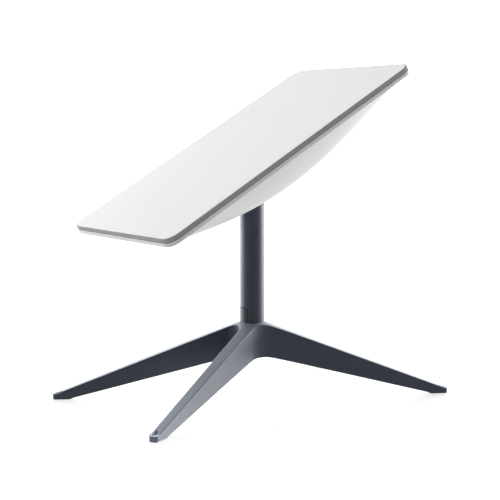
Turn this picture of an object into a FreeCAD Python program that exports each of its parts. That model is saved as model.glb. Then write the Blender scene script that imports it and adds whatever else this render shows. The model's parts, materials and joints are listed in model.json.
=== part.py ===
import FreeCAD, Part
import math
import os

from FreeCAD import Vector

# A motorised flat-panel satellite terminal on a four-legged stand.
# Frame: millimetres, origin on the ground under the mast axis, +Z up,
# +Y towards the raised end of the panel, +X across the panel.
# Panel parts are drawn in the panel's own frame, with the tilt axis as X, the
# raised end at +Y and the face looking along +Z, and are then tilted and lifted.

# ---- Driving dimensions ------------------------------------------------------

# Panel
PANEL_LENGTH = 513.0
PANEL_WIDTH = 303.0
PANEL_CORNER = 21.0
REST_TILT = 30.0
PIVOT_HEIGHT = 368.1
FACE_ABOVE_PIVOT = 44.0

# Depths below the face of the layers in the panel
BAND_TOP = 0.3
RADOME_BACK = 1.2
PATCH_TOP = 3.7
PATCH_BACK = 4.2
BAND_BACK = 6.3
RIM_TOP = 6.8
BOARD_BACK = 7.4
PLATE_BACK = 9.4
RIM_BACK = 12.5

# Drawn in from the panel's outline
BAND_EDGE = 0.35
FACE_EDGE = 2.4
BAND_INNER = 11.5
FOAM_EDGE = 11.8
BOARD_EDGE = 3.8
PLATE_SCREW_INSET = 8.2
PLATE_SCREW_RADIUS = 1.5
PLATE_SCREW_HOLE_TOP = 2.6

# Rounding of the panel's outer edges
FACE_ROUND = 0.5
BAND_ROUND = 1.0
RIM_ROUND = 0.7

# Antenna patches
PATCH_PITCH = 18.0
PATCH_HALF = 5.5
PATCH_COLUMNS = 15
PATCH_ROWS = 26
COPPER = 0.25

# Rear housing
BULGE = 62.0
BULGE_LENGTH_POWER = 2.0
BULGE_WIDTH_POWER = 4.4
HOUSING_WALL = 2.5
POCKET_WALL = 2.0

# Mast and hub
MAST_RADIUS = 19.5
MAST_BORE = 17.0
MAST_BOTTOM = 68.0
MAST_TOP = 339.0
HUB_TOP = 121.3
HUB_BOTTOM = 67.0
HUB_LIP = 3.0
LINER_RADIUS = 21.5
FIT_GAP = 0.05
BODY_GAP = 0.3

# Stand
LEG_ANGLE = 30.0
LEG_TIP = 321.0
LEG_TOP_SLOPE = 0.381
UNDERSIDE_AT_AXIS = 73.9
UNDERSIDE_SLOPE = 0.247
CASTING_WALL = 3.5
HOLLOW_REACH = 232.0
RIDGE_ROUND = 1.5
FOOT_START = 289.0
FOOT_BREAK = 314.0
FOOT_TOP = 7.8
FOOT_BOTTOM = 0.8
FOOT_CORNER = 4.5
PAD_EDGE = 1.8
PAD_START = 294.0
PAD_TOP = 2.4
FOOT_HOLE_AT = 311.5
FOOT_HOLE_RADIUS = 2.1

# A leg's two sides, measured from the line along its middle: the near side faces
# the leg beside it across the Y axis, the far side faces the X axis
NEAR_SIDE_ROOT = 3.7
NEAR_SIDE_TIP = 6.6
FAR_SIDE_ROOT = 17.4
FAR_SIDE_TIP = 7.4
NEAR_FILLET = 19.5
FAR_FILLET = 48.0

# Head that turns on the mast
BARREL_RADIUS = 25.0
BARREL_HALF = 30.0
POCKET_RADIUS = 27.0
POCKET_HALF = 33.0
TROUGH_HALF = 23.0
TROUGH_FLOOR = 22.5
TROUGH_UPHILL = 21.5
SPINDLE_RADIUS = 12.8
SPINDLE_BORE = 10.6
SPINDLE_BOTTOM = 292.0
MOTOR_RADIUS = 7.9
MOTOR_OFFSET = 4.0
MOTOR_FLOOR = 346.0
PIN_RADIUS = 6.0

# Gears: pressure angle 25 degrees, stub teeth
PRESSURE = math.radians(25.0)
BACKLASH = 0.14
AZIMUTH_MODULE = 0.8
AZIMUTH_RING_TEETH = 36
AZIMUTH_PINION_TEETH = 12
TILT_MODULE = 1.0
TILT_GEAR_TEETH = 50
TILT_PINION_TEETH = 10
AZIMUTH_CENTRES = AZIMUTH_MODULE * (AZIMUTH_RING_TEETH - AZIMUTH_PINION_TEETH) / 2
TILT_CENTRES = TILT_MODULE * (TILT_GEAR_TEETH + TILT_PINION_TEETH) / 2

# Release buttons
BUTTON_BOTTOM = 122.9
BUTTON_TOP = 145.4
BUTTON_HALF = 9.4
BUTTON_GAP = 1.0
BUTTON_CORNER = 3.0
BUTTON_TRAVEL = 2.5
NOSE_BOTTOM = 97.0
NOSE_TOP = 103.0

X_AXIS = Vector(1, 0, 0)
Y_AXIS = Vector(0, 1, 0)
Z_AXIS = Vector(0, 0, 1)
ORIGIN = Vector(0, 0, 0)


# ---- Shape helpers -----------------------------------------------------------

def box(x0, x1, y0, y1, z0, z1):
    return Part.makeBox(x1 - x0, y1 - y0, z1 - z0, Vector(x0, y0, z0))


def disc(radius, z0, z1, x=0.0, y=0.0):
    return Part.makeCylinder(radius, z1 - z0, Vector(x, y, z0), Z_AXIS)


def tube(outer, inner, z0, z1, x=0.0, y=0.0):
    return disc(outer, z0, z1, x, y).cut(disc(inner, z0 - 1, z1 + 1, x, y))


def cross_disc(radius, x0, x1, y=0.0, z=0.0):
    """A cylinder along X."""
    return Part.makeCylinder(radius, x1 - x0, Vector(x0, y, z), X_AXIS)


def cross_tube(outer, inner, x0, x1, y=0.0, z=0.0):
    return cross_disc(outer, x0, x1, y, z).cut(cross_disc(inner, x0 - 1, x1 + 1, y, z))


def fuse(first, *others):
    return first.multiFuse(list(others)).removeSplitter()


def group(shapes):
    return Part.Compound(list(shapes))


def spun(shape, degrees):
    """A copy turned about the mast axis."""
    copy = shape.copy()
    copy.rotate(ORIGIN, Z_AXIS, degrees)
    return copy


def flipped_x(shape):
    """The mirror image across the X = 0 plane."""
    return shape.mirror(ORIGIN, X_AXIS)


def depth(below_face):
    """Height in the panel's frame of a level given as a depth below the face."""
    return FACE_ABOVE_PIVOT - below_face


def in_place(shape):
    """Moves a part from the panel's frame to its resting place on the mast."""
    copy = shape.copy()
    copy.rotate(ORIGIN, X_AXIS, REST_TILT)
    copy.translate(Vector(0, 0, PIVOT_HEIGHT))
    return copy


def rounded_plate(inset, top, bottom, corner_cut=0.0):
    """A plate with the panel's outline drawn in by inset, between two depths."""
    half_x = PANEL_WIDTH / 2 - inset
    half_y = PANEL_LENGTH / 2 - inset
    plate = box(-half_x, half_x, -half_y, half_y, depth(bottom), depth(top))
    corners = [edge for edge in plate.Edges if abs(edge.tangentAt(0).z) > 0.9]
    plate = plate.makeFillet(PANEL_CORNER - inset, corners)
    if corner_cut:
        rim = [edge for edge in plate.Edges if edge.BoundBox.ZMin > depth(top) - 1e-6]
        plate = plate.makeFillet(corner_cut, rim)
    return plate


def rounded_ring(outer_inset, inner_inset, top, bottom):
    ring = rounded_plate(outer_inset, top, bottom)
    return ring.cut(rounded_plate(inner_inset, top - 1, bottom + 1))


def involute_angle(radius, base_radius):
    ratio = min(1.0, base_radius / radius)
    return math.sqrt(1 / ratio ** 2 - 1) - math.acos(ratio)


def gear(module, teeth, addendum, dedendum, thickness, z0, z1, first_tooth=0.0):
    """A spur gear about Z with a tooth centred on the angle first_tooth, in radians."""
    pitch_radius = module * teeth / 2
    base_radius = pitch_radius * math.cos(PRESSURE)
    root = pitch_radius - dedendum
    tip = pitch_radius + addendum
    pitch_half = thickness / pitch_radius / 2 + involute_angle(pitch_radius, base_radius)
    steps = 6
    flank = []
    for step in range(steps + 1):
        radius = root + (tip - root) * step / steps
        flank.append((radius, pitch_half - involute_angle(max(radius, base_radius), base_radius)))
    points = []
    for tooth in range(teeth):
        middle = first_tooth + 2 * math.pi * tooth / teeth
        rising = [(radius, middle - half) for radius, half in flank]
        falling = [(radius, middle + half) for radius, half in reversed(flank)]
        for radius, angle in rising + falling:
            points.append(Vector(radius * math.cos(angle), radius * math.sin(angle), z0))
    outline = Part.makePolygon(points + [points[0]])
    return Part.Face(outline).extrude(Vector(0, 0, z1 - z0))


def laid_along_x(shape):
    """Turns a part drawn about Z so that Z becomes X, X becomes Y and Y becomes Z."""
    copy = shape.copy()
    copy.rotate(ORIGIN, Vector(1, 1, 1), 120)
    return copy


def screw(x, y, z, shank_radius, shank, head_radius, head, direction):
    """A pan-head screw: the head seats at z, the shank runs along direction, up or down."""
    shaft = Part.makeCylinder(shank_radius, shank, Vector(x, y, z), Vector(0, 0, direction))
    cap = Part.makeCylinder(head_radius, head, Vector(x, y, z), Vector(0, 0, -direction))
    return fuse(cap, shaft)


def save(name, shape):
    shape.exportStep("parts/%s.step" % name)


# ---- Panel: the layers behind the face ----------------------------------------

def screw_places():
    """Where the backing plate is screwed to the edge band, as (x, y) in the panel."""
    side_x = PANEL_WIDTH / 2 - PLATE_SCREW_INSET
    end_y = PANEL_LENGTH / 2 - PLATE_SCREW_INSET
    places = [(side * side_x, y) for side in (-1, 1) for y in (-190, -64, 64, 190)]
    places += [(x, end * end_y) for end in (-1, 1) for x in (-75, 75)]
    return places


def plate_holes(top, bottom):
    return group([disc(PLATE_SCREW_RADIUS, depth(bottom), depth(top), x, y)
                  for x, y in screw_places()])


def radome_face():
    return rounded_plate(FACE_EDGE, 0, RADOME_BACK, FACE_ROUND)


def edge_band():
    """The grey frame that holds the face, with blind holes for the plate's screws."""
    band = rounded_plate(BAND_EDGE, BAND_TOP, BAND_BACK, BAND_ROUND)
    band = band.cut(rounded_plate(BAND_INNER, BAND_TOP - 1, BAND_BACK + 1))
    band = band.cut(rounded_plate(FACE_EDGE, BAND_TOP - 1, RADOME_BACK))
    return band.cut(plate_holes(PLATE_SCREW_HOLE_TOP, BAND_BACK + 1))


def foam_spacer(top, bottom):
    """A light core that keeps the patches at their distance from the next layer."""
    return rounded_plate(FOAM_EDGE, top, bottom)


def patch_film():
    """The carrier film under the copper patches."""
    return rounded_plate(FOAM_EDGE, PATCH_TOP + COPPER, PATCH_BACK)


def patch_elements():
    """Square copper patches in a regular grid over the film."""
    patches = []
    for row in range(PATCH_ROWS):
        for column in range(PATCH_COLUMNS):
            x = (column - (PATCH_COLUMNS - 1) / 2) * PATCH_PITCH
            y = (row - (PATCH_ROWS - 1) / 2) * PATCH_PITCH
            patches.append(box(x - PATCH_HALF, x + PATCH_HALF, y - PATCH_HALF, y + PATCH_HALF,
                               depth(PATCH_TOP + COPPER), depth(PATCH_TOP)))
    return group(patches)


def antenna_board():
    board = rounded_plate(BOARD_EDGE, BAND_BACK, BOARD_BACK)
    return board.cut(plate_holes(BAND_BACK - 1, BOARD_BACK + 1))


def backing_plate():
    plate = rounded_plate(BOARD_EDGE, BOARD_BACK, PLATE_BACK)
    plate = plate.cut(plate_holes(BOARD_BACK - 1, PLATE_BACK + 1))
    return plate.cut(bracket_screw_holes(BOARD_BACK, PLATE_BACK))


def plate_screws():
    shank = PLATE_BACK - PLATE_SCREW_HOLE_TOP - 0.2
    return group([screw(x, y, depth(PLATE_BACK), PLATE_SCREW_RADIUS, shank, 2.7, 1.2, 1)
                  for x, y in screw_places()])


def perimeter_gasket():
    return rounded_ring(0.9, 3.2, BAND_BACK, RIM_TOP)


# ---- Panel: the rear housing ---------------------------------------------------

def bulge_height(along, across):
    """Share of the full bulge, for places given from -1 to 1 along and across."""
    return (1 - abs(along) ** BULGE_LENGTH_POWER) * (1 - abs(across) ** BULGE_WIDTH_POWER)


def bulge_solid(inset, rim_depth):
    """The domed back: a curved sheet closed by a flat face at the rim's depth."""
    half_x = PANEL_WIDTH / 2 - inset
    half_y = PANEL_LENGTH / 2 - inset
    columns = 24
    rows = 36
    heights = []
    for column in range(columns + 1):
        across = 2 * column / columns - 1
        heights.append([depth(rim_depth) - BULGE * bulge_height(2 * row / rows - 1, across)
                        for row in range(rows + 1)])
    sheet = Part.BSplineSurface()
    sheet.interpolate(heights, -half_x, 2 * half_x / columns, -half_y, 2 * half_y / rows)
    corners = [Vector(x, y, depth(rim_depth)) for x, y in
               ((-half_x, -half_y), (half_x, -half_y), (half_x, half_y), (-half_x, half_y))]
    lid = Part.Face(Part.makePolygon(corners + [corners[0]]))
    shell = Part.Shell([sheet.toShape(), lid])
    shell.sewShape()
    dome = Part.Solid(shell)
    dome.fix(1e-4, 1e-4, 1e-4)
    return dome


def housing_body(inset, rim_depth, rim_round):
    """Rim and dome together, drawn in by inset, filled."""
    prism = rounded_plate(inset, RIM_TOP, RIM_BACK + BULGE + 10, rim_round)
    tray = box(-PANEL_WIDTH, PANEL_WIDTH, -PANEL_LENGTH, PANEL_LENGTH,
               depth(rim_depth), depth(RIM_TOP))
    dome = bulge_solid(inset, rim_depth)
    return fuse(prism.common(tray), prism.common(dome))


def mast_channel(grow):
    """The space that the head and the folding mast sweep, grown by a wall's thickness."""
    deep = depth(RIM_BACK + BULGE + 20)
    pocket = cross_disc(POCKET_RADIUS + grow, -POCKET_HALF - grow, POCKET_HALF + grow)
    half = TROUGH_HALF + grow
    trough = box(-half, half, -PANEL_LENGTH, 0, deep, depth(TROUGH_FLOOR - grow))
    mouth = box(-half, half, -1, TROUGH_UPHILL + grow, deep, 0)
    return fuse(pocket, trough, mouth)


def rear_housing():
    outside = housing_body(0, RIM_BACK, RIM_ROUND)
    inside = housing_body(HOUSING_WALL, RIM_BACK - HOUSING_WALL, 0)
    inside = fuse(inside, rounded_plate(HOUSING_WALL, RIM_TOP - 1, RIM_TOP + 1))
    walls = mast_channel(POCKET_WALL).common(outside)
    shell = fuse(outside.cut(inside), walls).cut(mast_channel(0))
    return shell.cut(cross_disc(8.5, -POCKET_HALF - 5, POCKET_HALF + 5))


# ---- Panel: tilt brackets and drive ---------------------------------------------

BRACKET_INNER = 36.5
BRACKET_OUTER = 41.5
BRACKET_FOOT = 49.5
BRACKET_HALF = 21.0
GEAR_INNER = 43.0
GEAR_OUTER = 48.0
MOUNT_INNER = 50.0
MOUNT_OUTER = 52.5
FOOT_THICKNESS = 3.0
MOUNT_THICKNESS = 2.5
BRACKET_SCREW_RADIUS = 1.75
BUSH_RADIUS = 8.0


def bracket_screw_places():
    bracket = [(side * 45.6, y) for side in (-1, 1) for y in (-15, 15)]
    motor = [(62.0, 18.0), (62.0, 42.0)]
    return bracket, motor


def bracket_screw_holes(top, bottom):
    bracket, motor = bracket_screw_places()
    return group([disc(BRACKET_SCREW_RADIUS, depth(bottom) - 1, depth(top) + 1, x, y)
                  for x, y in bracket + motor])


def tilt_bracket():
    """The right-hand bracket: an upright with the bush's bore and a foot on the plate."""
    root = box(BRACKET_INNER, BRACKET_OUTER, -BRACKET_HALF, BRACKET_HALF,
               depth(26), depth(PLATE_BACK))
    ear = cross_disc(14, BRACKET_INNER, BRACKET_OUTER)
    web = box(BRACKET_INNER, BRACKET_OUTER, -14, 14, 0, depth(PLATE_BACK))
    foot = box(BRACKET_INNER, BRACKET_FOOT, -BRACKET_HALF, BRACKET_HALF,
               depth(PLATE_BACK + FOOT_THICKNESS), depth(PLATE_BACK))
    bracket = fuse(root, web, ear, foot).cut(cross_disc(BUSH_RADIUS, 30, 45))
    return bracket.cut(bracket_screw_holes(PLATE_BACK - 1, PLATE_BACK + 5))


def bracket_screws():
    bracket, motor = bracket_screw_places()
    screws = []
    for places, foot in ((bracket, FOOT_THICKNESS), (motor, MOUNT_THICKNESS)):
        screws += [screw(x, y, depth(PLATE_BACK + foot), BRACKET_SCREW_RADIUS, foot + 1.6, 3.2, 2.2, 1)
                   for x, y in places]
    return group(screws)


def tilt_bush():
    sleeve = cross_disc(BUSH_RADIUS, BRACKET_INNER, BRACKET_OUTER)
    flange = cross_disc(10.5, BRACKET_OUTER, BRACKET_OUTER + 1)
    return fuse(sleeve, flange).cut(cross_disc(PIN_RADIUS + FIT_GAP, 30, 50))


def pin_seal():
    return cross_tube(8.5, PIN_RADIUS + FIT_GAP, POCKET_HALF, POCKET_HALF + POCKET_WALL)


def tilt_motor_mount():
    plate = box(MOUNT_INNER, MOUNT_OUTER, 14, 46, depth(58), depth(PLATE_BACK))
    foot = box(MOUNT_INNER, 70, 14, 46, depth(PLATE_BACK + MOUNT_THICKNESS), depth(PLATE_BACK))
    hole = cross_disc(4, 45, 55, TILT_CENTRES)
    return fuse(plate, foot).cut(hole).cut(bracket_screw_holes(PLATE_BACK - 1, PLATE_BACK + 5))


def tilt_gearbox():
    case = cross_disc(11, MOUNT_OUTER, 66, TILT_CENTRES)
    return case.cut(cross_disc(1.5 + FIT_GAP, MOUNT_OUTER - 1, 55.5, TILT_CENTRES))


def tilt_motor():
    can = cross_disc(10, 66, 94, TILT_CENTRES)
    boss = cross_disc(4, 94, 96, TILT_CENTRES)
    return fuse(can, boss)


def tilt_pinion():
    thickness = math.pi * TILT_MODULE / 2 - BACKLASH
    gap_towards_gear = math.pi + math.pi / TILT_PINION_TEETH
    teeth = gear(TILT_MODULE, TILT_PINION_TEETH, 0.8, 1.05, thickness,
                 GEAR_INNER + 0.2, GEAR_OUTER - 0.2, gap_towards_gear)
    teeth = laid_along_x(teeth)
    teeth.translate(Vector(0, TILT_CENTRES, 0))
    return fuse(teeth, cross_disc(1.5, GEAR_INNER, 55, TILT_CENTRES))


def control_board():
    """The motor controller, on four stand-offs under the backing plate."""
    board = box(-124, -62, -45, 45, depth(PLATE_BACK + 4.6), depth(PLATE_BACK + 3))
    posts = [disc(2.5, depth(PLATE_BACK + 3), depth(PLATE_BACK), x, y)
             for x in (-119, -67) for y in (-40, 40)]
    return fuse(board, *posts)


def board_parts():
    """The chips, capacitors and plug shrouds soldered to the controller."""
    low = depth(PLATE_BACK + 4.6)
    chips = [box(-110, -96, -8, 6, low - 1.4, low),
             box(-88, -80, -30, -22, low - 1.2, low),
             box(-116, -106, 24, 36, low - 5, low),
             box(-80, -70, 8, 28, low - 7, low)]
    cans = [disc(4, low - 9, low, -90, y) for y in (14, 25)]
    return group(chips + cans)


# ---- Head: turns on the mast, carries the tilt pins --------------------------------

STOP_CIRCLE = 15.0
STOP_PIN_RADIUS = 1.2
STOP_LUG_HALF = 0.9
HEAD_BOTTOM = MAST_TOP + 1 + BODY_GAP
RING_BOTTOM = 294.1


def yoke_head():
    barrel = cross_disc(BARREL_RADIUS, -BARREL_HALF, BARREL_HALF, 0, PIVOT_HEIGHT)
    neck = disc(MAST_RADIUS, HEAD_BOTTOM, PIVOT_HEIGHT - 8)
    spindle = disc(SPINDLE_RADIUS, SPINDLE_BOTTOM, HEAD_BOTTOM + 1)
    head = fuse(barrel, neck, spindle)
    head = head.cut(disc(SPINDLE_BORE, SPINDLE_BOTTOM - 1, HEAD_BOTTOM + 1))
    head = head.cut(disc(MOTOR_RADIUS, MOTOR_FLOOR, 400, 0, MOTOR_OFFSET))
    head = head.cut(disc(10.5, 386, 400, 0, MOTOR_OFFSET))
    head = head.cut(disc(2.2, 312, MOTOR_FLOOR + 1, 0, AZIMUTH_CENTRES))
    head = head.cut(disc(6.1, 317.4, 324.6, 0, AZIMUTH_CENTRES))
    head = head.cut(disc(2.2, HEAD_BOTTOM, PIVOT_HEIGHT, 0, -8))
    head = head.cut(cross_disc(PIN_RADIUS, -BARREL_HALF - 1, -14, 0, PIVOT_HEIGHT))
    head = head.cut(cross_disc(PIN_RADIUS, 14, BARREL_HALF + 1, 0, PIVOT_HEIGHT))
    groove = tube(STOP_CIRCLE + 1.9, STOP_CIRCLE - 1.9, HEAD_BOTTOM - 1, 344.2)
    lug = box(-STOP_LUG_HALF, STOP_LUG_HALF, STOP_CIRCLE - 3, STOP_CIRCLE + 3, HEAD_BOTTOM - 1, 345)
    head = head.cut(groove.cut(lug))
    leads = Part.makeCylinder(2.2, 18, Vector(0, -8, PIVOT_HEIGHT), Vector(-2, 1, 0))
    head = head.cut(leads)
    return head.cut(tube(14, SPINDLE_RADIUS - 0.6, RING_BOTTOM, RING_BOTTOM + 1.6))


def motor_cover():
    cap = disc(10.5, 386, 400, 0, MOTOR_OFFSET)
    return cap.common(cross_disc(BARREL_RADIUS, -20, 20, 0, PIVOT_HEIGHT))


def azimuth_gearbox():
    case = disc(MOTOR_RADIUS, MOTOR_FLOOR, 356, 0, MOTOR_OFFSET)
    return case.cut(disc(1.2 + FIT_GAP, MOTOR_FLOOR - 1, 349.5, 0, AZIMUTH_CENTRES))


def azimuth_motor():
    can = disc(MOTOR_RADIUS - 0.4, 356, 383, 0, MOTOR_OFFSET)
    boss = disc(2.5, 383, 384.5, 0, MOTOR_OFFSET)
    return fuse(can, boss)


def azimuth_pinion():
    thickness = math.pi * AZIMUTH_MODULE / 2 - BACKLASH
    teeth = gear(AZIMUTH_MODULE, AZIMUTH_PINION_TEETH, 0.64, 0.85, thickness,
                 318.3, 323.7, math.pi / 2)
    teeth.translate(Vector(0, AZIMUTH_CENTRES, 0))
    return fuse(teeth, disc(1.2, 317.9, 349, 0, AZIMUTH_CENTRES))


def retaining_ring():
    ring = tube(15.4, SPINDLE_RADIUS - 0.6, RING_BOTTOM, RING_BOTTOM + 1.6)
    return ring.cut(box(-3, 3, -20, 0, 290, 300))


def tilt_pin_right():
    pin = cross_disc(PIN_RADIUS, 14, GEAR_OUTER)
    return pin.cut(cross_disc(2, GEAR_OUTER - 12, GEAR_OUTER + 1))


def tilt_pin_left():
    """Hollow, so that the panel's leads pass through it."""
    return cross_tube(PIN_RADIUS, 3.2, -45, -14)


def pin_circlip():
    return cross_tube(8.6, PIN_RADIUS, -43.6, -42.6).cut(box(-50, -40, -3, 3, 0, 20))


def gear_screw():
    head = cross_disc(7.5, GEAR_OUTER, GEAR_OUTER + 1.6)
    return fuse(head, cross_disc(2, GEAR_OUTER - 10, GEAR_OUTER + 0.5))


def tilt_sector_gear():
    """A sector of the full gear, wide enough for the whole tilt, on a round hub."""
    thickness = math.pi * TILT_MODULE / 2
    wheel = gear(TILT_MODULE, TILT_GEAR_TEETH, 0.8, 1.05, thickness, GEAR_INNER, GEAR_OUTER)
    reach = TILT_MODULE * TILT_GEAR_TEETH / 2 + 5
    first = math.radians(-50)
    last = math.radians(75)
    middle = (first + last) / 2
    corners = [Vector(0, 0, GEAR_INNER - 1)]
    corners += [Vector(2 * reach * math.cos(angle), 2 * reach * math.sin(angle), GEAR_INNER - 1)
                for angle in (first, middle, last)]
    wedge = Part.Face(Part.makePolygon(corners + [corners[0]])).extrude(Vector(0, 0, 8))
    sector = fuse(wheel.common(wedge), disc(11, GEAR_INNER, GEAR_OUTER))
    sector = sector.cut(disc(PIN_RADIUS, GEAR_INNER - 1, GEAR_OUTER + 1))
    return laid_along_x(sector)


# ---- Mast -----------------------------------------------------------------------------

def button_block(gap, inner, outer):
    """A patch of the mast's wall with rounded corners, facing -Y, grown by gap."""
    half = BUTTON_HALF + gap
    patch = box(-half, half, -30, 0, BUTTON_BOTTOM - gap, BUTTON_TOP + gap)
    corners = [edge for edge in patch.Edges if abs(edge.tangentAt(0).y) > 0.9]
    patch = patch.makeFillet(BUTTON_CORNER + gap, corners)
    return patch.common(tube(outer, inner, BUTTON_BOTTOM - 5, BUTTON_TOP + 5))


def nose_slot(half, z0, z1, reach):
    return box(-half, half, -reach, -8, z0, z1)


def mast_tube():
    body = tube(MAST_RADIUS, MAST_BORE, MAST_BOTTOM, MAST_TOP)
    for turn in (0, 180):
        body = body.cut(spun(button_block(BUTTON_GAP, 5, 30), turn))
        body = body.cut(spun(nose_slot(6.5, NOSE_BOTTOM - 0.8, NOSE_TOP + 0.8, 30), turn))
    return body


def release_button():
    """The front button: finger plate, spring seat, arm down the mast and latch nose."""
    plate = button_block(0, MAST_BORE - 1.4, MAST_RADIUS)
    seat = box(-7, 7, -MAST_BORE, -13.6, BUTTON_BOTTOM, BUTTON_TOP)
    arm = box(-5.5, 5.5, -16, -13.6, NOSE_BOTTOM, BUTTON_BOTTOM + 4)
    reach = MAST_RADIUS + BUTTON_TRAVEL - 1.1
    nose = box(-5.5, 5.5, -reach, -13.6, NOSE_BOTTOM, NOSE_TOP)
    bevel = Part.makeBox(20, 10, 10, Vector(-10, -reach - 0.6, NOSE_BOTTOM - 10))
    bevel.rotate(Vector(0, -reach, NOSE_BOTTOM + 2.5), X_AXIS, -40)
    return fuse(plate, seat, arm, nose.cut(bevel))


def latch_guide():
    """A spool fixed in the mast: two discs joined by side webs and a cable tube."""
    lower = disc(MAST_BORE, 88, 92)
    upper = disc(MAST_BORE, 150, 154)
    core = disc(5.5, 90, 152)
    webs = [box(side * 11.5 - 1.5, side * 11.5 + 1.5, -9, 9, 90, 152) for side in (-1, 1)]
    ribs = [box(-12, 12, -1.5, 1.5, z, z + 3) for z in (94, 120, 145)]
    return fuse(lower, upper, core, *webs, *ribs).cut(disc(3.4, 80, 160))


def latch_spring():
    """One coil spring between the guide's core and the front button's seat."""
    free_length = 7.2
    radius = 3.2
    wire = 0.4
    turns = 4.5
    helix = Part.makeHelix(free_length / turns, free_length, radius)
    start = Part.Wire([Part.makeCircle(wire, Vector(radius, 0, 0), Y_AXIS)])
    coil = Part.Wire(helix.Edges).makePipeShell([start], True, True)
    coil.rotate(ORIGIN, X_AXIS, 90)
    coil.translate(Vector(0, -5.95, (BUTTON_BOTTOM + BUTTON_TOP) / 2))
    return coil


def mast_end_plug():
    body = disc(MAST_BORE, MAST_BOTTOM, 86)
    body = body.cut(box(-8, 8, -4.5, 4.5, MAST_BOTTOM - 1, 80))
    return body.cut(disc(3, 79, 87))


def cable_socket():
    """The contact block at the end of the inlet recess."""
    block = box(-8, 8, -4.5, 4.5, 77, 80)
    slots = [box(x - 0.5, x + 0.5, -3.4, 3.4, 76, 78) for x in (-6, -4, -2, 0, 2, 4, 6)]
    return block.cut(group(slots))


def mast_cable():
    return disc(3, 80, 274)


def cable_plug():
    """The plug at the top of the mast's cable, under the turning spindle."""
    body = disc(6.5, 274, 286)
    return fuse(body, disc(4.5, 268, 274)).cut(disc(3, 267, 274))


def azimuth_ring_gear():
    """An internal gear: its tooth spaces are the teeth of the cutting gear."""
    space = math.pi * AZIMUTH_MODULE / 2
    cutter = gear(AZIMUTH_MODULE, AZIMUTH_RING_TEETH, 0.9, 0.62, space, 317, 325, math.pi / 2)
    return disc(MAST_BORE, 318, 324).cut(cutter)


def azimuth_bush(z0, z1):
    return tube(MAST_BORE, SPINDLE_RADIUS + FIT_GAP, z0, z1)


def upper_azimuth_bush():
    hole = disc(STOP_PIN_RADIUS, 326, 340, 0, -STOP_CIRCLE)
    return azimuth_bush(327, 337).cut(hole)


def thrust_washer():
    return tube(MAST_RADIUS - 0.2, STOP_CIRCLE + 1.95, MAST_TOP, MAST_TOP + 1)


def stop_pin():
    return disc(STOP_PIN_RADIUS, 328, 343.6, 0, -STOP_CIRCLE)


def socket_liner():
    """The plastic sleeve in the hub, with a window for each latch nose."""
    sleeve = tube(LINER_RADIUS, MAST_RADIUS + 0.08, MAST_BOTTOM, HUB_TOP - HUB_LIP)
    window = nose_slot(6.5, NOSE_BOTTOM - 0.8, NOSE_TOP + 0.8, 30)
    return sleeve.cut(window).cut(spun(window, 180))


# ---- Stand ------------------------------------------------------------------------------

def four_times(leg):
    """Four copies of a part drawn on the leg along +Y, one on each leg of the stand."""
    mirrored = flipped_x(leg)
    return [spun(leg, LEG_ANGLE), spun(leg, 180 + LEG_ANGLE),
            spun(mirrored, -LEG_ANGLE), spun(mirrored, 180 - LEG_ANGLE)]


def leg_top(radius):
    """Height of the legs' sloping top at a distance from the mast axis."""
    return HUB_TOP + LEG_TOP_SLOPE * (LINER_RADIUS - radius)


def leg_bottom(radius):
    """Height of the legs' sloping underside at a distance from the mast axis."""
    return UNDERSIDE_AT_AXIS - UNDERSIDE_SLOPE * radius


def leg_blank(inset, reach, low, high):
    """The tapering leg along +Y seen from above, as an upright prism."""
    share = reach / LEG_TIP
    near_tip = NEAR_SIDE_ROOT + (NEAR_SIDE_TIP - NEAR_SIDE_ROOT) * share - inset
    far_tip = FAR_SIDE_ROOT + (FAR_SIDE_TIP - FAR_SIDE_ROOT) * share - inset
    corners = [Vector(inset - FAR_SIDE_ROOT, 0, low), Vector(NEAR_SIDE_ROOT - inset, 0, low),
               Vector(near_tip, reach, low), Vector(-far_tip, reach, low)]
    prism = Part.Face(Part.makePolygon(corners + [corners[0]])).extrude(Vector(0, 0, high - low))
    tips = [edge for edge in prism.Edges
            if abs(edge.tangentAt(0).z) > 0.9 and edge.BoundBox.YMin > reach - 1]
    return prism.makeFillet(FOOT_CORNER - inset, tips)


def hub_corners(shape, axis):
    """The upright edges near the hub that stand on the given axis."""
    corners = []
    for edge in shape.Edges:
        middle = Vector(edge.BoundBox.Center.x, edge.BoundBox.Center.y, 0)
        upright = abs(edge.tangentAt(0).z) > 0.9
        if upright and middle.Length < 60 and middle.cross(axis).Length < 1:
            corners.append(edge)
    return corners


def stand_prism(inset, reach, low, high):
    """All four legs from above, with the inner corners rounded, as an upright prism."""
    star = fuse(*four_times(leg_blank(inset, reach, low, high)))
    star = star.makeFillet(NEAR_FILLET + inset, hub_corners(star, Y_AXIS))
    return star.makeFillet(FAR_FILLET + inset, hub_corners(star, X_AXIS))


def leg_section(drop, open_below):
    """The legs' side view turned about the mast axis, its top lowered by drop."""
    top = [(0, HUB_TOP - drop), (LINER_RADIUS, HUB_TOP - drop),
           (FOOT_BREAK, leg_top(FOOT_BREAK) - drop), (LEG_TIP + 4, FOOT_TOP - drop)]
    if open_below:
        bottom = [(LEG_TIP + 4, -5), (0, -5)]
    else:
        hub_edge = (UNDERSIDE_AT_AXIS - HUB_BOTTOM) / UNDERSIDE_SLOPE
        bottom = [(LEG_TIP + 4, FOOT_BOTTOM), (FOOT_START + 3, FOOT_BOTTOM),
                  (FOOT_START, leg_bottom(FOOT_START)), (hub_edge, HUB_BOTTOM), (0, HUB_BOTTOM)]
    points = [Vector(radius, 0, height) for radius, height in top + bottom]
    section = Part.Face(Part.makePolygon(points + [points[0]]))
    return spun(section.revolve(ORIGIN, Z_AXIS, 360), 90 - LEG_ANGLE)


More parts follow.
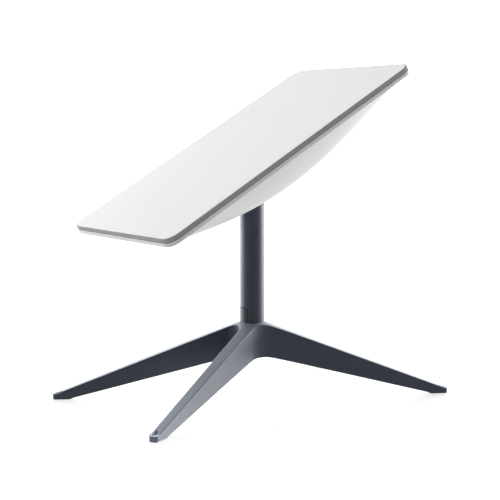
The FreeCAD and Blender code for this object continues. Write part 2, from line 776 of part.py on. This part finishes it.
def foot_slot():
    """The sunk slot on a foot's top and the screw hole through it, pointing along +Y."""
    half = 2.5
    slot = fuse(box(-half, half, 307.5, 315.5, 5.4, 20), disc(half, 5.4, 20, 0, 307.5),
                disc(half, 5.4, 20, 0, 315.5))
    return fuse(slot, disc(FOOT_HOLE_RADIUS, -1, 20, 0, FOOT_HOLE_AT))


def pad_blank(grow):
    """A foot's pad on the leg along +Y, grown on its sides."""
    pad = leg_blank(PAD_EDGE - grow, LEG_TIP - PAD_EDGE + grow, 0, PAD_TOP)
    return pad.common(box(-20, 20, PAD_START - grow, LEG_TIP, 0, PAD_TOP))


def base_casting():
    """Hub and legs in one piece, hollow from below, with a pocket for each foot's pad."""
    outside = stand_prism(0, LEG_TIP, 0, 140).common(leg_section(0, False))
    ridges = [edge for edge in outside.Edges if is_top_ridge(edge)]
    outside = outside.makeFillet(RIDGE_ROUND, ridges)
    inside = stand_prism(CASTING_WALL, HOLLOW_REACH, 0, 140).common(leg_section(4, True))
    core = disc(LINER_RADIUS + 4.2, HUB_BOTTOM, HUB_TOP - 2)
    casting = fuse(outside.cut(inside), core.common(outside))
    casting = casting.cut(disc(LINER_RADIUS, 50, HUB_TOP - HUB_LIP))
    casting = casting.cut(disc(MAST_RADIUS + 0.2, HUB_TOP - HUB_LIP - 1, HUB_TOP + 1))
    for cutter in four_times(foot_slot()) + four_times(pad_blank(0.1)):
        casting = casting.cut(cutter)
    for turn in (0, 180):
        casting = casting.cut(spun(nose_slot(6.5, NOSE_BOTTOM - 0.8, NOSE_TOP + 0.8, 22.5), turn))
    return casting


def is_top_ridge(edge):
    """True for an edge between a leg's sloping top and its upright side."""
    first, last = edge.ParameterRange
    middle = edge.valueAt((first + last) / 2)
    if math.hypot(middle.x, middle.y) > FOOT_START:
        return False
    for point in (edge.valueAt(first), middle, edge.valueAt(last)):
        radius = math.hypot(point.x, point.y)
        if radius < LINER_RADIUS + 2 or abs(point.z - leg_top(radius)) > 0.3:
            return False
    return edge.Length > 5


def foot_pads():
    """Soft pads let into the feet, each with a hole for the foot's screw."""
    pad = pad_blank(0).cut(disc(FOOT_HOLE_RADIUS, -1, 5, 0, FOOT_HOLE_AT))
    return group(four_times(pad))


# ---- Everything, by name ----------------------------------------------------------------

def stand_and_mast():
    return {
        "base_casting": base_casting(),
        "foot_pads": foot_pads(),
        "socket_liner": socket_liner(),
        "mast_tube": mast_tube(),
        "mast_end_plug": mast_end_plug(),
        "cable_socket": cable_socket(),
        "mast_cable": mast_cable(),
        "cable_plug": cable_plug(),
        "latch_guide": latch_guide(),
        "latch_spring_front": latch_spring(),
        "latch_spring_rear": spun(latch_spring(), 180),
        "release_button_front": release_button(),
        "release_button_rear": spun(release_button(), 180),
        "azimuth_ring_gear": azimuth_ring_gear(),
        "lower_azimuth_bush": azimuth_bush(296, 306),
        "upper_azimuth_bush": upper_azimuth_bush(),
        "thrust_washer": thrust_washer(),
        "azimuth_stop_pin": stop_pin(),
    }


def head():
    upright = {
        "yoke_head": yoke_head(),
        "motor_cover": motor_cover(),
        "azimuth_gearbox": azimuth_gearbox(),
        "azimuth_motor": azimuth_motor(),
        "azimuth_pinion": azimuth_pinion(),
        "retaining_ring": retaining_ring(),
    }
    tilted = {
        "tilt_pin_right": tilt_pin_right(),
        "tilt_pin_left": tilt_pin_left(),
        "pin_circlip": pin_circlip(),
        "gear_screw": gear_screw(),
        "tilt_sector_gear": tilt_sector_gear(),
    }
    upright.update({name: in_place(shape) for name, shape in tilted.items()})
    return upright


def panel():
    parts = {
        "radome_face": radome_face(),
        "edge_band": edge_band(),
        "upper_foam_spacer": foam_spacer(RADOME_BACK, PATCH_TOP),
        "patch_film": patch_film(),
        "patch_elements": patch_elements(),
        "lower_foam_spacer": foam_spacer(PATCH_BACK, BAND_BACK),
        "antenna_board": antenna_board(),
        "backing_plate": backing_plate(),
        "plate_screws": plate_screws(),
        "perimeter_gasket": perimeter_gasket(),
        "rear_housing": rear_housing(),
        "tilt_bracket_right": tilt_bracket(),
        "tilt_bracket_left": flipped_x(tilt_bracket()),
        "bracket_screws": bracket_screws(),
        "tilt_bush_right": tilt_bush(),
        "tilt_bush_left": flipped_x(tilt_bush()),
        "pin_seal_right": pin_seal(),
        "pin_seal_left": flipped_x(pin_seal()),
        "tilt_motor_mount": tilt_motor_mount(),
        "tilt_gearbox": tilt_gearbox(),
        "tilt_motor": tilt_motor(),
        "tilt_pinion": tilt_pinion(),
        "control_board": control_board(),
        "board_parts": board_parts(),
    }
    return {name: in_place(shape) for name, shape in parts.items()}


os.makedirs("parts", exist_ok=True)
for pieces in (stand_and_mast(), head(), panel()):
    for piece_name, piece_shape in pieces.items():
        save(piece_name, piece_shape)
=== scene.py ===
import json
import math

import bpy
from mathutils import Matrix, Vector


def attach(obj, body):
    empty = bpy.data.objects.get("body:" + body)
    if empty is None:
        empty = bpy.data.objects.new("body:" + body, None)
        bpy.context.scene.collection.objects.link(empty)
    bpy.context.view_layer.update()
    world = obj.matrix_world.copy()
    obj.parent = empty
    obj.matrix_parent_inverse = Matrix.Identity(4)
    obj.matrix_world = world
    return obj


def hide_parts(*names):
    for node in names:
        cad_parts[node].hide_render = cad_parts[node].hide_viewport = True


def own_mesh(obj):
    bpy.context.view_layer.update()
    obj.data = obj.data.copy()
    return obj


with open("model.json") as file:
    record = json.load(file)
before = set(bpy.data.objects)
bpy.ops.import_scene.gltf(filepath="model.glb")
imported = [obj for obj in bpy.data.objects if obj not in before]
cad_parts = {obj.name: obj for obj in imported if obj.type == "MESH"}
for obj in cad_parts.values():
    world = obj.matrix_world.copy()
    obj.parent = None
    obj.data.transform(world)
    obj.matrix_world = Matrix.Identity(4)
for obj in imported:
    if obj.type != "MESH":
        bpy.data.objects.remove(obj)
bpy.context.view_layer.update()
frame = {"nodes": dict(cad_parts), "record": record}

# ---- Driving values (metres, degrees, linear colours) ---------------------------

CAMERA_PLACE = (1.5684, -1.0717, 0.43625)
CAMERA_TURN = (84.044, 0.0, 55.67)
CAMERA_LENS = 85.63
CAMERA_SHIFT = (-0.0038, 0.0)

# The studio: brightness all round the object, overhead and on the camera's side, and the
# direction that the camera's side faces, measured from the X axis
BRIGHT_SIDE = 1.8
OVERHEAD = 1.5
DARK_SIDE = 0.1
CAMERA_SIDE = -34.3

# Where the overhead and the dark level begin and are full, as the cosine of the angle from
# straight up and from the camera's side
OVERHEAD_FADE = (0.4, 0.9)
DARK_SIDE_FADE = (-0.75, 0.5)

FLOOR_SIZE = 60.0
FLOOR_GREY = 0.3
FLOOR_GLOW = 0.68

# Height of the point on the mast that the light panels face
AIM_HEIGHT = 0.15

# The spot on the foot nearest the camera: the foot's place, the spot's direction and distance
# from it, its power, the width of its cone, its own radius and its slightly warm colour
NEAR_FOOT = (0.1605, -0.278, 0.004)
FOOT_LIGHT_TURN = -51.0
FOOT_LIGHT_RISE = 22.0
FOOT_LIGHT_FAR = 0.35
FOOT_LIGHT_WATTS = 12.0
FOOT_LIGHT_CONE = 36.0
FOOT_LIGHT_RADIUS = 0.03
FOOT_LIGHT_COLOUR = (1.0, 0.96, 0.91)

# Procedural noise: the values taken as its lowest and highest, and its octaves in soft
# patches and in surface grain
NOISE_RANGE = (0.3, 0.7)
PATCH_DETAIL = 3.0
GRAIN_DETAIL = 2.0

# The cool tint of the dark coatings at a shallow angle
SHEEN_TINT = (0.82, 0.90, 1.0, 1.0)


# ---- Material helpers -------------------------------------------------------------

class Finish:
    """A Principled material under construction, with helpers that add procedural detail."""

    def __init__(self, name, colour, roughness, metallic=0.0, specular=0.5):
        self.material = bpy.data.materials.new(name)
        self.material.use_nodes = True
        self.tree = self.material.node_tree
        self.shader = self.tree.nodes["Principled BSDF"]
        self.colour = colour
        self.roughness = roughness
        self.shader.inputs["Base Color"].default_value = (*colour, 1.0)
        self.shader.inputs["Roughness"].default_value = roughness
        self.shader.inputs["Metallic"].default_value = metallic
        self.shader.inputs["Specular IOR Level"].default_value = specular
        self.place = self.tree.nodes.new("ShaderNodeTexCoord").outputs["Object"]

    def add(self, kind, **values):
        """A new node, each value going to its input of that name, or else to its own setting."""
        node = self.tree.nodes.new(kind)
        for key, value in values.items():
            if key in node.inputs:
                node.inputs[key].default_value = value
            else:
                setattr(node, key, value)
        return node

    def link(self, source, target):
        self.tree.links.new(source, target)

    def noise(self, size, detail, stretch=None):
        """Noise whose features are about size metres across; stretch scales its coordinates."""
        noise = self.add("ShaderNodeTexNoise", Scale=1.0 / size, Detail=detail)
        if stretch is None:
            self.link(self.place, noise.inputs["Vector"])
        else:
            scaled = self.add("ShaderNodeMapping")
            scaled.inputs["Scale"].default_value = stretch
            self.link(self.place, scaled.inputs["Vector"])
            self.link(scaled.outputs["Vector"], noise.inputs["Vector"])
        return noise.outputs["Fac"]

    def patches(self, size, low, high, stretch=None):
        """Soft patches about size metres across, whose values run from low to high."""
        span = self.add("ShaderNodeMapRange")
        span.inputs["From Min"].default_value = NOISE_RANGE[0]
        span.inputs["From Max"].default_value = NOISE_RANGE[1]
        span.inputs["To Min"].default_value = low
        span.inputs["To Max"].default_value = high
        self.link(self.noise(size, PATCH_DETAIL, stretch), span.inputs["Value"])
        return span.outputs["Result"]

    def vary_colour(self, size, amount):
        """Soft patches a little lighter and darker than the base colour."""
        mix = self.add("ShaderNodeMix", data_type="RGBA")
        mix.inputs["A"].default_value = (*[c * (1 - amount) for c in self.colour], 1.0)
        mix.inputs["B"].default_value = (*[min(1.0, c * (1 + amount)) for c in self.colour], 1.0)
        self.link(self.patches(size, 0.0, 1.0), mix.inputs["Factor"])
        self.link(mix.outputs["Result"], self.shader.inputs["Base Color"])
        return self

    def vary_roughness(self, size, amount, stretch=None):
        """Soft patches a little smoother and rougher than the base roughness."""
        low = self.roughness - amount
        high = self.roughness + amount
        self.link(self.patches(size, low, high, stretch), self.shader.inputs["Roughness"])
        return self

    def grain(self, size, height, stretch=None):
        """Bumps about size metres across and height metres deep."""
        bump = self.add("ShaderNodeBump", Strength=1.0, Distance=height)
        self.link(self.noise(size, GRAIN_DETAIL, stretch), bump.inputs["Height"])
        self.link(bump.outputs["Normal"], self.shader.inputs["Normal"])
        return self

    def sheen(self, weight, roughness):
        """Brightens surfaces seen at a shallow angle, as a fine dark coating does."""
        self.shader.inputs["Sheen Weight"].default_value = weight
        self.shader.inputs["Sheen Roughness"].default_value = roughness
        self.shader.inputs["Sheen Tint"].default_value = SHEEN_TINT
        return self

    def coat(self, weight, roughness):
        """A clear glossy layer on top."""
        self.shader.inputs["Coat Weight"].default_value = weight
        self.shader.inputs["Coat Roughness"].default_value = roughness
        return self


def radome_white():
    finish = Finish("radome_white", (0.785, 0.785, 0.785), 0.6, specular=0.3)
    finish.vary_colour(0.09, 0.008).vary_roughness(0.004, 0.04)
    return finish.grain(0.0009, 0.000006).material


def band_grey():
    finish = Finish("band_grey", (0.27, 0.275, 0.29), 0.75, specular=0.1)
    finish.vary_colour(0.02, 0.05).vary_roughness(0.002, 0.05)
    return finish.grain(0.0005, 0.000012).material


def housing_white():
    # The housing is the same white plastic as the radome (0.785). Its colour here is set darker as
    # painted shade, standing in for the shade on its sides, which face away from the light.
    finish = Finish("housing_white", (0.56, 0.56, 0.56), 0.50)
    finish.vary_colour(0.06, 0.012).vary_roughness(0.003, 0.05)
    return finish.grain(0.0007, 0.00002).material


def gasket_black():
    finish = Finish("gasket_black", (0.012, 0.012, 0.013), 0.75)
    return finish.vary_colour(0.004, 0.2).grain(0.0006, 0.00002).material


def foam_white():
    finish = Finish("foam_white", (0.72, 0.72, 0.69), 0.9)
    return finish.vary_colour(0.003, 0.06).grain(0.0012, 0.0003).material


def film_amber():
    finish = Finish("film_amber", (0.45, 0.15, 0.02), 0.3)
    return finish.vary_colour(0.02, 0.08).coat(0.5, 0.1).material


def patch_copper():
    finish = Finish("patch_copper", (0.75, 0.36, 0.20), 0.32, metallic=1.0)
    return finish.vary_colour(0.01, 0.1).vary_roughness(0.001, 0.08).material


def board_green():
    finish = Finish("board_green", (0.012, 0.08, 0.035), 0.35)
    return finish.vary_colour(0.004, 0.15).grain(0.0015, 0.00002).material


def component_black():
    finish = Finish("component_black", (0.015, 0.015, 0.017), 0.5)
    return finish.vary_colour(0.003, 0.2).grain(0.0004, 0.00001).material


def plate_aluminium():
    """Brushed across, so its patches and grain are long in one direction."""
    brushed = (1.0, 0.05, 0.05)
    finish = Finish("plate_aluminium", (0.62, 0.63, 0.65), 0.35, metallic=1.0)
    finish.vary_roughness(0.0008, 0.1, stretch=brushed)
    return finish.grain(0.0006, 0.00001, stretch=brushed).material


def casting_charcoal():
    finish = Finish("casting_charcoal", (0.007, 0.015, 0.036), 0.45, specular=0.5)
    finish.vary_colour(0.01, 0.10).vary_roughness(0.003, 0.05).sheen(1.0, 0.45)
    return finish.grain(0.0009, 0.000008).material


def mast_charcoal():
    finish = Finish("mast_charcoal", (0.003, 0.009, 0.028), 0.45, specular=0.5)
    finish.vary_colour(0.02, 0.06).vary_roughness(0.002, 0.03).sheen(1.0, 0.45)
    return finish.grain(0.0005, 0.000002).material


def head_aluminium():
    finish = Finish("head_aluminium", (0.45, 0.46, 0.48), 0.5, metallic=1.0)
    return finish.vary_colour(0.01, 0.1).grain(0.0012, 0.00004).material


def button_charcoal():
    finish = Finish("button_charcoal", (0.010, 0.014, 0.026), 0.40)
    return finish.vary_roughness(0.001, 0.04).grain(0.0004, 0.00001).material


def liner_black():
    finish = Finish("liner_black", (0.014, 0.015, 0.017), 0.5)
    return finish.vary_colour(0.004, 0.15).grain(0.0006, 0.00001).material


def pad_rubber():
    finish = Finish("pad_rubber", (0.016, 0.016, 0.018), 0.85)
    return finish.vary_colour(0.003, 0.2).grain(0.0007, 0.00004).material


def steel():
    finish = Finish("steel", (0.55, 0.55, 0.56), 0.3, metallic=1.0)
    return finish.vary_roughness(0.0006, 0.08).grain(0.0005, 0.000008).material


def gear_white():
    finish = Finish("gear_white", (0.76, 0.73, 0.64), 0.45)
    finish.shader.inputs["Subsurface Weight"].default_value = 0.15
    finish.shader.inputs["Subsurface Scale"].default_value = 0.002
    return finish.vary_colour(0.004, 0.03).material


def bush_bronze():
    finish = Finish("bush_bronze", (0.45, 0.28, 0.11), 0.42, metallic=1.0)
    return finish.vary_colour(0.003, 0.15).grain(0.0003, 0.00001).material


def motor_steel():
    finish = Finish("motor_steel", (0.50, 0.51, 0.53), 0.28, metallic=1.0)
    return finish.vary_roughness(0.0006, 0.06).material


def cable_black():
    finish = Finish("cable_black", (0.012, 0.012, 0.012), 0.6)
    return finish.vary_colour(0.004, 0.2).grain(0.0008, 0.00001).material


FINISHES = (radome_white, band_grey, housing_white, gasket_black, foam_white, film_amber,
            patch_copper, board_green, component_black, plate_aluminium, casting_charcoal,
            mast_charcoal, head_aluminium, button_charcoal, liner_black, pad_rubber, steel,
            gear_white, bush_bronze, motor_steel, cable_black)


def make_materials():
    return {make.__name__: make() for make in FINISHES}


def paint_cad_nodes(materials):
    """Gives every CAD node the finish of its own material slot."""
    slots = {row["node"]: row["material_slot"] for row in frame["record"]["subparts"]}
    for name, node in frame["nodes"].items():
        node.data.materials.clear()
        node.data.materials.append(materials[slots[name]])


def springs_that_give():
    """Stands a copy with a mesh of its own in for each latch spring, on the mast_and_stand body, and
    hides the spring it replaces. In the stand the spring shortens as its release button goes in.
    """
    for side in ("front", "rear"):
        name = "latch_spring_" + side
        node = frame["nodes"][name]
        spring = node.copy()
        spring.data = node.data.copy()
        spring.name = name + "_coil"
        bpy.context.scene.collection.objects.link(spring)
        bpy.context.view_layer.update()
        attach(spring, "mast_and_stand")
        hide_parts(name)
        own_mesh(spring)


# ---- Stage ------------------------------------------------------------------------

def direction(turn, rise):
    """The unit vector at these angles from the X axis and from level."""
    around = math.radians(turn)
    up = math.radians(rise)
    level = math.cos(up)
    return Vector((level * math.cos(around), level * math.sin(around), math.sin(up)))


def place_light(data, target, away, far):
    """Stands a light far metres away from its target and turns it to face it."""
    light = bpy.data.objects.new(data.name, data)
    light.location = Vector(target) + away * far
    light.rotation_euler = away.to_track_quat("Z", "Y").to_euler()
    bpy.context.scene.collection.objects.link(light)
    return light


def make_camera():
    data = bpy.data.cameras.new("camera")
    data.sensor_width = 36.0
    data.lens = CAMERA_LENS
    data.shift_x, data.shift_y = CAMERA_SHIFT
    camera = bpy.data.objects.new("camera", data)
    camera.location = CAMERA_PLACE
    camera.rotation_euler = [math.radians(turn) for turn in CAMERA_TURN]
    bpy.context.scene.collection.objects.link(camera)
    bpy.context.scene.camera = camera


def make_floor():
    """A pale floor that glows a little, like a light table, so that shadows stay faint."""
    bpy.ops.mesh.primitive_plane_add(size=FLOOR_SIZE, location=(0.0, 0.0, 0.0))
    floor = bpy.context.object
    floor.name = "floor"
    finish = Finish("floor_pale", (FLOOR_GREY, FLOOR_GREY, FLOOR_GREY), 0.3)
    finish.shader.inputs["Emission Color"].default_value = (1.0, 1.0, 1.0, 1.0)
    finish.shader.inputs["Emission Strength"].default_value = FLOOR_GLOW
    floor.data.materials.append(finish.vary_colour(0.5, 0.002).material)


def make_world():
    """Soft light from behind and both sides, dimmer overhead and dim at the front."""
    world = bpy.data.worlds.new("studio")
    world.use_nodes = True
    nodes = world.node_tree.nodes
    links = world.node_tree.links
    sky = nodes["Background"]
    sky.inputs["Color"].default_value = (1.0, 1.0, 1.0, 1.0)
    towards = nodes.new("ShaderNodeTexCoord").outputs["Generated"]

    def level(axis, fade, low, high):
        """A smooth change from low to high as the direction turns towards axis."""
        along = nodes.new("ShaderNodeVectorMath")
        along.operation = "DOT_PRODUCT"
        along.inputs[1].default_value = axis
        links.new(towards, along.inputs[0])
        span = nodes.new("ShaderNodeMapRange")
        span.interpolation_type = "SMOOTHSTEP"
        span.inputs["From Min"].default_value = fade[0]
        span.inputs["From Max"].default_value = fade[1]
        span.inputs["To Min"].default_value = low
        span.inputs["To Max"].default_value = high
        links.new(along.outputs["Value"], span.inputs["Value"])
        return span

    overhead = level((0.0, 0.0, 1.0), OVERHEAD_FADE, BRIGHT_SIDE, OVERHEAD)
    front = level(direction(CAMERA_SIDE, 0.0), DARK_SIDE_FADE, BRIGHT_SIDE, DARK_SIDE)
    links.new(overhead.outputs["Result"], front.inputs["To Min"])
    links.new(front.outputs["Result"], sky.inputs["Strength"])
    bpy.context.scene.world = world


def softbox(name, turn, rise, far, size, strength):
    """A square light panel facing the mast, turn and rise being angles from the camera's side."""
    data = bpy.data.lights.new(name, "AREA")
    data.size = size
    data.energy = strength * math.pi * size * size
    place_light(data, (0.0, 0.0, AIM_HEIGHT), direction(CAMERA_SIDE + turn, rise), far)


def foot_light():
    """A small low spot on the near foot. It lights the stand alone, so it leaves no pool on the floor."""
    data = bpy.data.lights.new("foot_light", "SPOT")
    data.energy = FOOT_LIGHT_WATTS
    data.color = FOOT_LIGHT_COLOUR
    data.spot_size = math.radians(FOOT_LIGHT_CONE)
    data.spot_blend = 1.0
    data.shadow_soft_size = FOOT_LIGHT_RADIUS
    away = direction(FOOT_LIGHT_TURN, FOOT_LIGHT_RISE)
    light = place_light(data, NEAR_FOOT, away, FOOT_LIGHT_FAR)
    stand = bpy.data.collections.new("lit_by_foot_light")
    for name in ("base_casting", "foot_pads"):
        stand.objects.link(frame["nodes"][name])
    light.light_linking.receiver_collection = stand


def make_lights():
    softbox("right_light", 118.0, 2.0, 1.8, 1.2, 8.0)
    softbox("left_light", -118.0, 8.0, 1.8, 1.2, 6.0)
    softbox("face_light", -56.0, 60.0, 2.2, 1.6, 1.3)
    foot_light()


bpy.context.scene.view_settings.view_transform = "Standard"
make_camera()
make_floor()
make_world()
make_lights()
paint_cad_nodes(make_materials())
springs_that_give()
